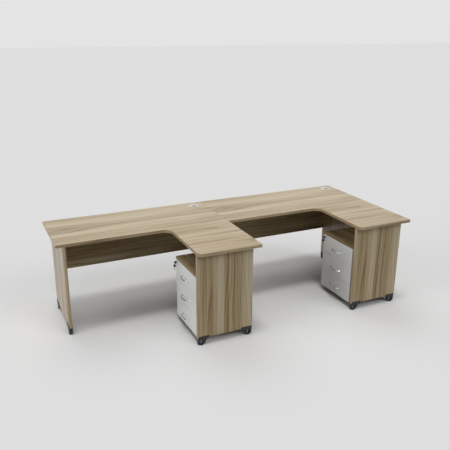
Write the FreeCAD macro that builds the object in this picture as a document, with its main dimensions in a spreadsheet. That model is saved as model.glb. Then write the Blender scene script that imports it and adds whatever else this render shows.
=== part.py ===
"""Run of two L-shaped desks with rolling drawer pedestals, in millimetres.

The origin is on the floor under the middle of the run.
+X runs to the right along it, +Y to the back, +Z up.
"""
import FreeCAD, Part
import os
import re
import Sketcher
from FreeCAD import Placement, Rotation, Vector

doc = FreeCAD.newDocument("two_person_desk")

# Driving sizes: name, value, meaning
SIZES = (
    ("unit_width", 1400, "one desk along the run"),
    ("desk_depth", 1200, "front of the returns to the back edge"),
    ("main_depth", 600, "main part of a worktop, front to back"),
    ("return_width", 510, "return, left to right"),
    ("desk_height", 760, "floor to the working surface"),
    ("top_thickness", 25, "worktop board"),
    ("inner_corner_radius", 70, "inside corner of the L"),
    ("return_corner_radius", 40, "front left corner of a return"),
    ("worktop_corner_radius", 4, "other corners of a worktop"),
    ("worktop_edge_radius", 2, "rounded edging of a worktop"),
    ("panel_thickness", 25, "upright panels"),
    ("panel_edge_radius", 1, "rounded edging of the panels"),
    ("side_overhang", 50, "worktop past the end panels and the right of a return panel"),
    ("rear_overhang", 50, "worktop past the back of the panels"),
    ("front_overhang", 50, "worktop past the return panels"),
    ("panel_front_setback", 5, "end panels behind the front of the main part"),
    ("return_panel_inset", 5, "return panel from the inner edge of its return"),
    ("foot_height", 60, "floor to the underside of the panels"),
    ("modesty_thickness", 18, "modesty panel board"),
    ("modesty_height", 395, "modesty panel, top to bottom"),
    ("foot_length", 76, "foot along its panel at the top"),
    ("foot_toe", 56, "foot along its panel at the bottom"),
    ("foot_lip_thickness", 3, "lips of a foot on both faces of its panel"),
    ("foot_lip_height", 14, "lips of a foot above the lower edge of its panel"),
    ("foot_lip_length", 88, "lips of a foot along its panel"),
    ("foot_toe_thickness", 22, "foot across its panel at the bottom"),
    ("foot_end_inset", 3, "foot from the end of its panel"),
    ("foot_edge_radius", 3, "rounded edges of a foot"),
    ("foot_slot_width", 20, "upright slot through a foot, between its two prongs"),
    ("foot_slot_height", 36, "slot from the bottom of a foot"),
    ("glide_radius", 16, "floor pad of a glide"),
    ("glide_height", 8, "floor pad of a glide"),
    ("glide_edge_radius", 1.5, "rounded edges of a floor pad"),
    ("glide_stem_radius", 4, "threaded stem of a glide"),
    ("glide_stem_length", 46, "threaded stem above the pad"),
    ("glide_stem_play", 0.2, "stem in the foot, all round"),
    ("bracket_leg", 40, "steel angle, each leg"),
    ("bracket_width", 30, "steel angle"),
    ("bracket_sheet", 2.5, "steel angle"),
    ("bracket_hole_offset", 24, "screw hole from the corner of an angle"),
    ("bracket_hole_radius", 2.6, "screw hole of an angle"),
    ("bracket_front_inset", 90, "first angle from the front of a panel"),
    ("bracket_rear_inset", 150, "last angle from the back of a panel"),
    ("bracket_side_inset", 110, "angles from the ends of return and modesty panels"),
    ("screw_radius", 2, "wood screw shank"),
    ("screw_length", 14, "wood screw under its head"),
    ("screw_head_radius", 4.2, "wood screw head"),
    ("screw_head_height", 2.4, "wood screw head"),
    ("screw_head_round", 1, "wood screw head edge"),
    ("grommet_inset_x", 108, "cable hole from the right edge of a worktop"),
    ("grommet_inset_y", 102, "cable hole from the back edge of a worktop"),
    ("grommet_hole_radius", 32, "cable hole"),
    ("liner_fit", 0.2, "liner in the cable hole, all round"),
    ("liner_wall", 1.8, "liner tube"),
    ("liner_depth", 22, "liner tube below the working surface"),
    ("liner_flange_radius", 45, "liner flange"),
    ("liner_flange_height", 4, "liner flange"),
    ("liner_flange_round", 2, "liner flange edge"),
    ("cap_radius", 38, "cap disc"),
    ("cap_thickness", 3, "cap disc"),
    ("cap_gap", 0.3, "cap in its liner, all round"),
    ("cap_skirt_wall", 1.2, "cap skirt"),
    ("cap_skirt_depth", 6, "cap skirt below the working surface"),
    ("cap_slot_radius", 25, "half-moon cable slot"),
    ("cap_slot_offset", 2, "straight side of the slot from the middle of the cap"),
    ("pedestal_width", 420, "pedestal front, left to right"),
    ("pedestal_depth", 440, "drawer faces to the back of the pedestal"),
    ("pedestal_height", 556, "floor to the top of the pedestal"),
    ("pedestal_skirt", 48, "floor to the lower edges of the pedestal"),
    ("pedestal_setback", 17, "drawer faces from the inner edge of the return"),
    ("pedestal_panel_gap", 27, "pedestal side from the return panel"),
    ("pedestal_end_clearance", 10, "least space from the pedestal to the front of an end panel"),
    ("carcass_thickness", 18, "pedestal boards"),
    ("carcass_edge_radius", 0.8, "rounded edging of the pedestal boards"),
    ("front_thickness", 18, "drawer fronts"),
    ("front_edge_radius", 1.5, "rounded edging of the drawer fronts"),
    ("front_gap", 3, "between drawer fronts"),
    ("front_air", 2, "drawer fronts from the carcass"),
    ("drawer_wall", 12, "drawer sides and back"),
    ("drawer_floor", 6, "drawer base"),
    ("drawer_length", 370, "drawer box behind its front"),
    ("drawer_box_height", 90, "drawer box"),
    ("drawer_lift", 38, "drawer box above the lower edge of its front"),
    ("runner_space", 12.5, "drawer side from the carcass side"),
    ("runner_sheet", 1.5, "cabinet member of a runner"),
    ("runner_reach", 11, "cabinet member from the carcass side"),
    ("runner_height", 36, "cabinet member of a runner"),
    ("runner_length", 350, "both members of a runner"),
    ("runner_setback", 3, "runner from the front of the carcass"),
    ("runner_lift", 25, "cabinet member above the bottom of the drawer box"),
    ("runner_play", 0.3, "drawer member in the cabinet member, all round"),
    ("handle_spacing", 128, "between the feet of a handle"),
    ("handle_rise", 25, "height of the bow over its feet"),
    ("handle_bar_radius", 4.5, "handle bar"),
    ("handle_foot_radius", 6.5, "handle foot"),
    ("handle_foot_height", 9, "handle foot"),
    ("handle_drop", 10, "handle below the middle of its front"),
    ("lock_inset_side", 30, "lock from the far side of the pedestal"),
    ("lock_inset_top", 20, "lock from the top of its drawer front"),
    ("barrel_radius", 9, "lock barrel"),
    ("barrel_fit", 0.1, "barrel in the drawer front, all round"),
    ("barrel_length", 22, "barrel behind the drawer face"),
    ("barrel_flange_radius", 11.5, "barrel flange"),
    ("barrel_flange_height", 2, "barrel flange"),
    ("plug_radius", 6, "turning plug"),
    ("plug_play", 0.05, "plug in the barrel, all round"),
    ("cam_thickness", 2, "lock cam"),
    ("cam_width", 9, "lock cam"),
    ("cam_reach", 19, "lock cam from the axis of the lock"),
    ("key_blade_length", 3, "key between the plug and its bow"),
    ("key_blade_width", 7, "key blade"),
    ("key_blade_thickness", 2, "key blade"),
    ("key_bow_radius", 12, "round grip of the key"),
    ("key_bow_thickness", 4, "round grip of the key"),
    ("key_bow_round", 1.2, "edges of the grip"),
    ("key_ring_radius", 3, "ring hole of the key"),
    ("castor_height", 60, "floor to the underside of the pedestal base"),
    ("castor_inset", 52, "castor stem from the edges of the pedestal base"),
    ("castor_stem_radius", 5, "castor stem"),
    ("castor_stem_length", 15, "castor stem in the base"),
    ("castor_play", 0.05, "castor stem and axle in their bores, all round"),
    ("castor_lift", 0.5, "castor collar below the base"),
    ("castor_collar_radius", 14, "castor collar"),
    ("castor_collar_height", 4, "castor collar"),
    ("castor_trail", 14, "axle behind the stem"),
    ("castor_web", 8, "web between the two wheels"),
    ("castor_neck", 16, "neck along the trail"),
    ("castor_boss_radius", 8, "boss round the axle"),
    ("hood_radius", 26, "outside of the hood"),
    ("hood_wall", 2, "hood"),
    ("wheel_radius", 22, "castor wheel"),
    ("wheel_width", 11, "one of the twin wheels"),
    ("wheel_gap", 0.4, "wheel from the web"),
    ("wheel_edge_radius", 2, "rounded tread edges"),
    ("axle_radius", 3, "wheel axle"),
)
sheet = doc.addObject("Spreadsheet::Sheet", "Sizes")
for row, (alias, value, meaning) in enumerate(SIZES, start=1):
    sheet.set(f"A{row}", meaning)
    sheet.set(f"B{row}", str(value))
    sheet.setAlias(f"B{row}", alias)
doc.recompute()
size = {alias: float(sheet.get(alias)) for alias, _, _ in SIZES}

nodes = {}

# Turns that lay a primitive's own axis along another one
ALONG_X = Rotation(Vector(0, 1, 0), 90)
ALONG_Y = Rotation(Vector(1, 0, 0), -90)
HALF_TURN = Rotation(Vector(0, 0, 1), 180)
UPRIGHT = Rotation(Vector(1, 0, 0), 90)


def formula(text):
    """A formula written with size names, as an expression on the sheet."""
    return re.sub(r"[a-z][a-z_]*", lambda word: f"Sizes.{word[0]}" if word[0] in size else word[0], text)


def bind(item, **sizes):
    for name, text in sizes.items():
        item.setExpression(name, formula(text))


def place(item, x="0", y="0", z="0", turn=None):
    if turn:
        item.Placement = Placement(Vector(), turn)
    for axis, text in zip("xyz", (x, y, z)):
        item.setExpression(f"Placement.Base.{axis}", formula(text))


def new_body(label, x="0", y="0", z="0", turn=None):
    body = doc.addObject("PartDesign::Body", label)
    place(body, x, y, z, turn)
    return body


def add(body, kind, x="0", y="0", z="0", turn=None, **sizes):
    """A primitive added to a body or, for the subtractive kinds, taken out of it."""
    feature = body.newObject(f"PartDesign::{kind}", f"{body.Label}_{kind}")
    bind(feature, **sizes)
    place(feature, x, y, z, turn)
    return feature


def soften(body, radius, chosen=lambda edge: True):
    """Rounds the chosen edges of a body."""
    doc.recompute()
    base = body.Tip
    edges = [f"Edge{i}" for i, edge in enumerate(base.Shape.Edges, start=1) if chosen(edge)]
    rounding = body.newObject("PartDesign::Fillet", f"{body.Label}_rounding")
    rounding.Base = (base, edges)
    bind(rounding, Radius=radius)
    doc.recompute()


def board(label, corner, extent, radius):
    """A rectangular board with its low corner at a place, and rounded edging."""
    body = new_body(label, *corner)
    add(body, "AdditiveBox", Length=extent[0], Width=extent[1], Height=extent[2])
    soften(body, radius)
    return body


def node(item):
    """Lists an object as a sub-part of its own."""
    nodes[item.Label] = item
    return item


def group(label, members):
    """Separate solids that share one sub-part."""
    compound = doc.addObject("Part::Compound", label)
    compound.Links = members
    return node(compound)


def copies(label, pattern, placements):
    """Separate solids of one pattern, at worked-out placements."""
    doc.recompute()
    feature = doc.addObject("Part::Feature", label)
    feature.Shape = Part.makeCompound([pattern.Shape.transformed(spot.toMatrix()) for spot in placements])
    return node(feature)


def is_circle(edge, radius):
    if not isinstance(edge.Curve, Part.Circle):
        return False
    return abs(edge.Curve.Radius - radius) < Part.Precision.confusion()


# Places that several pieces share
UNITS = {"left": "(-unit_width)", "right": "0"}
FRONT = "(-desk_depth / 2)"
BACK = "(desk_depth / 2)"
UNDER_TOP = "(desk_height - top_thickness)"
PEDESTAL_NEAR = f"({FRONT} + front_overhang + panel_thickness + pedestal_panel_gap)"


# Worktops: one L-shaped board for each desk, with a cable hole at the back right corner
def worktop(label, unit):
    body = new_body(label, unit, FRONT, UNDER_TOP)
    sketch = body.newObject("Sketcher::SketchObject", f"{label}_outline")
    plane = next(item for item in body.Origin.OriginFeatures if item.Role == "XY_Plane")
    sketch.AttachmentSupport = (plane, "")
    sketch.MapMode = "FlatFace"
    width, depth = size["unit_width"], size["desk_depth"]
    inner_x, inner_y = width - size["return_width"], depth - size["main_depth"]
    outline = ((0, inner_y), (inner_x, inner_y), (inner_x, 0), (width, 0), (width, depth), (0, depth))
    corners = [Vector(x, y) for x, y in outline]
    for i, start in enumerate(corners):
        sketch.addGeometry(Part.LineSegment(start, corners[(i + 1) % len(corners)]))
    for i in range(len(corners)):
        sketch.addConstraint(Sketcher.Constraint("Coincident", i, 2, (i + 1) % len(corners), 1))
        sketch.addConstraint(Sketcher.Constraint("Vertical" if i % 2 else "Horizontal", i))
    sketch.addConstraint(Sketcher.Constraint("PointOnObject", 2, 1, -1))
    sketch.addConstraint(Sketcher.Constraint("PointOnObject", 5, 1, -2))
    spans = (("DistanceX", -1, 1, 3, 1, "unit_width"), ("DistanceX", 2, 1, 2, 2, "return_width"),
             ("DistanceY", 3, 1, 3, 2, "desk_depth"), ("DistanceY", 5, 2, 5, 1, "main_depth"))
    for kind, first, first_end, second, second_end, alias in spans:
        span = Sketcher.Constraint(kind, first, first_end, second, second_end, size[alias])
        index = sketch.addConstraint(span)
        sketch.renameConstraint(index, alias)
        sketch.setExpression(f"Constraints.{alias}", formula(alias))
    pad = body.newObject("PartDesign::Pad", f"{label}_board")
    pad.Profile = sketch
    bind(pad, Length="top_thickness")

    def corner_edge(*which):
        """Tells whether an edge stands at one of the numbered corners of the outline."""
        def test(edge):
            middle = Vector(edge.BoundBox.Center.x, edge.BoundBox.Center.y)
            return any(middle.isEqual(corners[i], size["worktop_edge_radius"]) for i in which)
        return test

    soften(body, "inner_corner_radius", corner_edge(1))
    soften(body, "return_corner_radius", corner_edge(2))
    soften(body, "worktop_corner_radius", corner_edge(0, 3, 4, 5))
    soften(body, "worktop_edge_radius", lambda edge: edge.BoundBox.ZLength < size["worktop_edge_radius"])
    add(body, "SubtractiveCylinder", "unit_width - grommet_inset_x", "desk_depth - grommet_inset_y",
        Radius="grommet_hole_radius", Height="top_thickness")
    return node(body)


for side, unit in UNITS.items():
    worktop(f"{side}_desktop", unit)


# Upright panels: three across the run under the main parts, and one under the front of each return
# The three start behind the front of the main part, and behind the pedestals where those reach further back
BEHIND_MAIN_FRONT = f"{BACK} - main_depth + panel_front_setback"
BEHIND_PEDESTAL = f"{PEDESTAL_NEAR} + pedestal_width + pedestal_end_clearance"
END_FRONT = f"max({BEHIND_MAIN_FRONT}; {BEHIND_PEDESTAL})"
END_DEPTH = f"{BACK} - rear_overhang - {END_FRONT}"
PANEL_HEIGHT = "desk_height - top_thickness - foot_height"
end_places = {
    "left_end_panel": "-unit_width + side_overhang",
    "middle_panel": "-panel_thickness / 2",
    "right_end_panel": "unit_width - side_overhang - panel_thickness",
}
end_panels = {}
for label, x in end_places.items():
    corner = (x, END_FRONT, "foot_height")
    extent = ("panel_thickness", END_DEPTH, PANEL_HEIGHT)
    end_panels[label] = node(board(label, corner, extent, "panel_edge_radius"))

return_panels = []
modesty_panels = []
for side, unit in UNITS.items():
    x = f"{unit} + unit_width - return_width + return_panel_inset"
    corner = (x, f"{FRONT} + front_overhang", "foot_height")
    extent = ("return_width - return_panel_inset - side_overhang", "panel_thickness", PANEL_HEIGHT)
    return_panels.append(node(board(f"{side}_return_panel", corner, extent, "panel_edge_radius")))

# Modesty panels: they fill the back between an end panel and the middle panel
modesty_starts = {"left": "-unit_width + side_overhang + panel_thickness", "right": "panel_thickness / 2"}
for side, x in modesty_starts.items():
    corner = (x, f"{BACK} - rear_overhang - modesty_thickness", f"{UNDER_TOP} - modesty_height")
    span = "unit_width - side_overhang - panel_thickness - panel_thickness / 2"
    extent = (span, "modesty_thickness", "modesty_height")
    modesty_panels.append(node(board(f"{side}_modesty_panel", corner, extent, "panel_edge_radius")))


# Feet: a tapered moulding grips each lower corner of the upright panels between two lips
# Its two prongs stand on a glide, whose stem passes between them and turns into the block above
FOOT_THICKNESS = "(panel_thickness + 2 * foot_lip_thickness)"


def foot_pattern():
    """A foot at the origin: its upright end at X = 0 and its sloping end towards +X."""
    body = new_body("foot_pattern")
    add(body, "AdditiveWedge", turn=UPRIGHT, Ymin="glide_height", Ymax="foot_height",
        Xmin="0", Xmax="foot_toe", Zmin="-foot_toe_thickness / 2", Zmax="foot_toe_thickness / 2",
        X2min="0", X2max="foot_length", Z2min=f"-{FOOT_THICKNESS} / 2", Z2max=f"{FOOT_THICKNESS} / 2")
    soften(body, "foot_edge_radius")
    for y in (f"-{FOOT_THICKNESS} / 2", "panel_thickness / 2"):
        add(body, "AdditiveBox", "foot_edge_radius", y, "foot_height - foot_edge_radius",
            Length="foot_lip_length", Width="foot_lip_thickness", Height="foot_edge_radius + foot_lip_height")
    add(body, "SubtractiveBox", "foot_toe / 2 - foot_slot_width / 2", f"-{FOOT_THICKNESS} / 2", "glide_height",
        Length="foot_slot_width", Width=FOOT_THICKNESS, Height="foot_slot_height")
    add(body, "SubtractiveCylinder", "foot_toe / 2", z="glide_height",
        Radius="glide_stem_radius + glide_stem_play", Height="glide_stem_length + glide_stem_play")
    return body


def glide_pattern():
    body = new_body("glide_pattern")
    add(body, "AdditiveCylinder", "foot_toe / 2", Radius="glide_radius", Height="glide_height")
    soften(body, "glide_edge_radius")
    add(body, "AdditiveCylinder", "foot_toe / 2", z="glide_height / 2",
        Radius="glide_stem_radius", Height="glide_height / 2 + glide_stem_length")
    return body


def foot_placements():
    """The upright ends of the feet, at both ends of every upright panel."""
    doc.recompute()
    places = []
    inset = size["foot_end_inset"]
    for panel in end_panels.values():
        box = panel.Shape.BoundBox
        places.append((box.Center.x, box.YMin + inset, 90))
        places.append((box.Center.x, box.YMax - inset, -90))
    for panel in return_panels:
        box = panel.Shape.BoundBox
        places.append((box.XMin + inset, box.Center.y, 0))
        places.append((box.XMax - inset, box.Center.y, 180))
    return [Placement(Vector(x, y, 0), Rotation(Vector(0, 0, 1), heading)) for x, y, heading in places]


copies("foot_brackets", foot_pattern(), foot_placements())
copies("levelling_glides", glide_pattern(), foot_placements())


# Steel angles and their wood screws
def bracket_pattern():
    """An angle with its corner at the origin: one leg hangs down, the other lies along +X."""
    body = new_body("bracket_pattern")
    add(body, "AdditiveBox", y="-bracket_width / 2", z="-bracket_leg",
        Length="bracket_sheet", Width="bracket_width", Height="bracket_leg")
    add(body, "AdditiveBox", y="-bracket_width / 2", z="-bracket_sheet",
        Length="bracket_leg", Width="bracket_width", Height="bracket_sheet")
    add(body, "SubtractiveCylinder", z="-bracket_hole_offset", turn=ALONG_X,
        Radius="bracket_hole_radius", Height="bracket_sheet")
    add(body, "SubtractiveCylinder", "bracket_hole_offset", z="-bracket_sheet",
        Radius="bracket_hole_radius", Height="bracket_sheet")
    return body


def screw_pattern():
    """A screw that stands on the origin under its head and points along +Z."""
    body = new_body("screw_pattern")
    add(body, "AdditiveCylinder", z="-screw_head_height",
        Radius="screw_head_radius", Height="screw_head_height")
    soften(body, "screw_head_round", lambda edge: edge.BoundBox.ZMax < -size["screw_head_round"])
    add(body, "AdditiveCylinder", z="-screw_head_height / 2",
        Radius="screw_radius", Height="screw_length + screw_head_height / 2")
    return body


def bracket_placements():
    """Corners of the angles: position and turn, each against a panel and a worktop or another panel."""
    doc.recompute()
    under_top = size["desk_height"] - size["top_thickness"]
    front, rear, ends = (size[f"bracket_{name}_inset"] for name in ("front", "rear", "side"))
    faces = []
    for label, panel in end_panels.items():
        box = panel.Shape.BoundBox
        stations = (box.YMin + front, (box.YMin + front + box.YMax - rear) / 2, box.YMax - rear)
        if label != "right_end_panel":
            faces += [(Vector(box.XMax, y, under_top), 0) for y in stations]
        if label != "left_end_panel":
            faces += [(Vector(box.XMin, y, under_top), 180) for y in stations]
    for panel in return_panels:
        box = panel.Shape.BoundBox
        faces += [(Vector(x, box.YMax, under_top), 90) for x in (box.XMin + ends, box.XMax - ends)]
    corners = []
    for panel in modesty_panels:
        box = panel.Shape.BoundBox
        faces += [(Vector(x, box.YMin, under_top), -90) for x in (box.XMin + 2 * ends, box.XMax - 2 * ends)]
        corners.append((Vector(box.XMin, box.YMin, box.Center.z), 0))
        corners.append((Vector(box.XMax, box.YMin, box.Center.z), 180))
    hung = [Placement(spot, Rotation(Vector(0, 0, 1), heading)) for spot, heading in faces]
    upright = [Placement(spot, Rotation(Vector(0, 1, 0), heading) * ALONG_Y) for spot, heading in corners]
    return hung + upright


def screw_placements():
    """One screw through each leg of every angle."""
    offset, sheet_steel = size["bracket_hole_offset"], size["bracket_sheet"]
    into_top = Placement(Vector(offset, 0, -sheet_steel), Rotation())
    into_panel = Placement(Vector(sheet_steel, 0, -offset), ALONG_X.inverted())
    return [corner * leg for corner in bracket_placements() for leg in (into_top, into_panel)]


copies("corner_brackets", bracket_pattern(), bracket_placements())
copies("bracket_screws", screw_pattern(), screw_placements())


# Cable outlets: a flanged liner in each cable hole, and a cap with a half-moon slot that turns in it
def grommet_place(unit):
    return f"{unit} + unit_width - grommet_inset_x", f"{BACK} - grommet_inset_y", "desk_height"


def grommet_liner(side, unit):
    body = new_body(f"{side}_grommet_liner", *grommet_place(unit))
    add(body, "AdditiveCylinder", Radius="liner_flange_radius", Height="liner_flange_height")
    soften(body, "liner_flange_round", lambda edge: edge.BoundBox.ZMin > size["liner_flange_round"])
    add(body, "AdditiveCylinder", z="-liner_depth",
        Radius="grommet_hole_radius - liner_fit", Height="liner_depth + liner_flange_height / 2")
    add(body, "SubtractiveCylinder", z="-liner_depth",
        Radius="grommet_hole_radius - liner_fit - liner_wall", Height="liner_depth + liner_flange_height")
    add(body, "SubtractiveCylinder", z="liner_flange_height - cap_thickness",
        Radius="cap_radius + cap_gap", Height="cap_thickness")
    return body


def grommet_cap(side, unit):
    skirt = "grommet_hole_radius - liner_fit - liner_wall - cap_gap"
    body = new_body(f"{side}_grommet_cap", *grommet_place(unit))
    add(body, "AdditiveCylinder", z="liner_flange_height - cap_thickness",
        Radius="cap_radius", Height="cap_thickness")
    add(body, "AdditiveCylinder", z="-cap_skirt_depth",
        Radius=skirt, Height="cap_skirt_depth + liner_flange_height")
    add(body, "SubtractiveCylinder", z="-cap_skirt_depth", Radius=f"{skirt} - cap_skirt_wall",
        Height="cap_skirt_depth + liner_flange_height - cap_thickness")
    add(body, "SubtractiveCylinder", y="-cap_slot_offset", turn=HALF_TURN,
        Radius="cap_slot_radius", Height="liner_flange_height", Angle="180")
    return node(body)


group("grommet_liners", [grommet_liner(side, unit) for side, unit in UNITS.items()])
for side, unit in UNITS.items():
    grommet_cap(side, unit)


# Pedestals: a carcass of boards, three drawers on runners, a lock and four castors
DRAWERS = ("lower", "middle", "upper")
UNDER_PEDESTAL_TOP = "(pedestal_height - carcass_thickness)"
CARCASS_DEPTH = "(pedestal_depth - front_thickness - front_air)"
CARCASS_INSIDE = "(pedestal_width - 2 * carcass_thickness)"
BASE_DEPTH = f"({CARCASS_DEPTH} - carcass_thickness)"
FRONT_HEIGHT = f"(({UNDER_PEDESTAL_TOP} - pedestal_skirt) / {len(DRAWERS)} - front_gap)"
DRAWER_INSIDE = f"({CARCASS_INSIDE} - 2 * runner_space - 2 * drawer_wall)"
CASTOR_SPOTS = tuple(
    (x, y)
    for x in ("castor_inset", f"{BASE_DEPTH} - castor_inset")
    for y in ("castor_inset", f"{CARCASS_INSIDE} - castor_inset")
)


def pedestal_carcass(side, face_x, carcass_x):
    inside_y = f"{PEDESTAL_NEAR} + carcass_thickness"
    far_y = f"{PEDESTAL_NEAR} + pedestal_width - carcass_thickness"
    back_x = f"{carcass_x} + {BASE_DEPTH}"
    wall = f"{UNDER_PEDESTAL_TOP} - pedestal_skirt"
    places = {
        "pedestal_top": (face_x, PEDESTAL_NEAR, UNDER_PEDESTAL_TOP),
        "near_side": (carcass_x, PEDESTAL_NEAR, "pedestal_skirt"),
        "far_side": (carcass_x, far_y, "pedestal_skirt"),
        "back": (back_x, inside_y, "pedestal_skirt"),
        "base": (carcass_x, inside_y, "castor_height"),
    }
    extents = {
        "pedestal_top": ("pedestal_depth", "pedestal_width", "carcass_thickness"),
        "near_side": (CARCASS_DEPTH, "carcass_thickness", wall),
        "far_side": (CARCASS_DEPTH, "carcass_thickness", wall),
        "back": ("carcass_thickness", CARCASS_INSIDE, wall),
        "base": (BASE_DEPTH, CARCASS_INSIDE, "carcass_thickness"),
    }
    boards = {}
    for name, corner in places.items():
        boards[name] = board(f"{side}_{name}", corner, extents[name], "carcass_edge_radius")
    for x, y in CASTOR_SPOTS:
        add(boards["base"], "SubtractiveCylinder", x, y,
            Radius="castor_stem_radius + castor_play", Height="castor_stem_length + castor_lift")
    node(boards.pop("pedestal_top"))
    group(f"{side}_pedestal_carcass", list(boards.values()))


def cabinet_runner(label, x, y, z, cavity_y):
    """A channel screwed to a carcass side and open towards the drawer."""
    body = new_body(label, x, y, z)
    add(body, "AdditiveBox", Length="runner_length", Width="runner_reach", Height="runner_height")
    add(body, "SubtractiveBox", y=cavity_y, z="runner_sheet", Length="runner_length",
        Width="runner_reach - runner_sheet", Height="runner_height - 2 * runner_sheet")
    return body


def drawer_box(label, x, z, runner_x):
    """Two sides, back and base of a drawer with the two runner members on its sides."""
    near_y = f"{PEDESTAL_NEAR} + carcass_thickness + runner_space"
    inside_y = f"{near_y} + drawer_wall"
    far_y = f"{inside_y} + {DRAWER_INSIDE}"
    back_x = f"{x} + drawer_length - drawer_wall"
    side_extent = ("drawer_length", "drawer_wall", "drawer_box_height")
    back_extent = ("drawer_wall", DRAWER_INSIDE, "drawer_box_height")
    base_extent = ("drawer_length - drawer_wall", DRAWER_INSIDE, "drawer_floor")
    member = "(runner_space - runner_sheet - runner_play)"
    member_extent = ("runner_length", member, "runner_height - 2 * runner_sheet - 2 * runner_play")
    member_z = f"{z} + runner_lift + runner_sheet + runner_play"
    near_member = (runner_x, f"{near_y} - {member}", member_z)
    far_member = (runner_x, f"{far_y} + drawer_wall", member_z)
    edging, rolled_edge = "carcass_edge_radius", "runner_sheet / 2"
    group(f"{label}_box", [
        board(f"{label}_near_side", (x, near_y, z), side_extent, edging),
        board(f"{label}_far_side", (x, far_y, z), side_extent, edging),
        board(f"{label}_back", (back_x, inside_y, z), back_extent, edging),
        board(f"{label}_base", (x, inside_y, z), base_extent, edging),
        board(f"{label}_near_member", near_member, member_extent, rolled_edge),
        board(f"{label}_far_member", far_member, member_extent, rolled_edge),
    ])


def handle(label, face_x, z):
    """A round bar bowed between two feet."""
    middle_y = f"{PEDESTAL_NEAR} + pedestal_width / 2"
    bow_radius = "((handle_spacing ^ 2 / 4 + handle_rise ^ 2) / (2 * handle_rise))"
    half_angle = "2 * atan(2 * handle_rise / handle_spacing)"
    bow = doc.addObject("Part::Torus", f"{label}_bow")
    bind(bow, Radius1=bow_radius, Radius2="handle_bar_radius", Angle3=f"2 * {half_angle}")
    place(bow, f"{face_x} - handle_foot_height / 2 - handle_rise + {bow_radius}", middle_y, z, HALF_TURN)
    bow.setExpression("Placement.Rotation.Angle", formula(f"180 deg - {half_angle}"))
    feet = []
    for end in ("-", "+"):
        foot = doc.addObject("Part::Cylinder", f"{label}_foot")
        bind(foot, Radius="handle_foot_radius", Height="handle_foot_height")
        place(foot, f"{face_x} - handle_foot_height", f"{middle_y} {end} handle_spacing / 2", z, ALONG_X)
        feet.append(foot)
    joined = doc.addObject("Part::MultiFuse", label)
    joined.Shapes = [bow] + feet
    return node(joined)


def lock(side, front, x, y, z):
    """A barrel through the upper drawer front, and the key with the plug and the cam that turn in it."""
    add(front, "SubtractiveCylinder",
        y="pedestal_width - lock_inset_side", z=f"{FRONT_HEIGHT} - lock_inset_top", turn=ALONG_X,
        Radius="barrel_radius + barrel_fit", Height="front_thickness")
    barrel = new_body(f"{side}_lock_barrel", x, y, z, ALONG_X)
    add(barrel, "AdditiveCylinder", z="-barrel_flange_height",
        Radius="barrel_flange_radius", Height="barrel_flange_height")
    add(barrel, "AdditiveCylinder", z="-barrel_flange_height / 2",
        Radius="barrel_radius", Height="barrel_length + barrel_flange_height / 2")
    add(barrel, "SubtractiveCylinder", z="-barrel_flange_height",
        Radius="plug_radius + plug_play", Height="barrel_flange_height + barrel_length")
    node(barrel)
    key = new_body(f"{side}_key", x, y, z, ALONG_X)
    bow_z = "-barrel_flange_height - key_blade_length - key_bow_radius"
    add(key, "AdditiveCylinder", y="-key_bow_thickness / 2", z=bow_z, turn=ALONG_Y,
        Radius="key_bow_radius", Height="key_bow_thickness")
    soften(key, "key_bow_round")
    add(key, "AdditiveBox", "-key_blade_width / 2", "-key_blade_thickness / 2", bow_z,
        Length="key_blade_width", Width="key_blade_thickness",
        Height="key_bow_radius + key_blade_length + barrel_flange_height")
    add(key, "AdditiveCylinder", z="-barrel_flange_height", Radius="plug_radius",
        Height="barrel_flange_height + barrel_length")
    add(key, "AdditiveBox", "-cam_width / 2", "-cam_reach", "barrel_length",
        Length="cam_width", Width="cam_reach + cam_width / 2", Height="cam_thickness")
    ring_z = f"{bow_z} - key_bow_radius / 2"
    add(key, "SubtractiveCylinder", y="-key_bow_thickness / 2", z=ring_z, turn=ALONG_Y,
        Radius="key_ring_radius", Height="key_bow_thickness")
    node(key)


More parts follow.
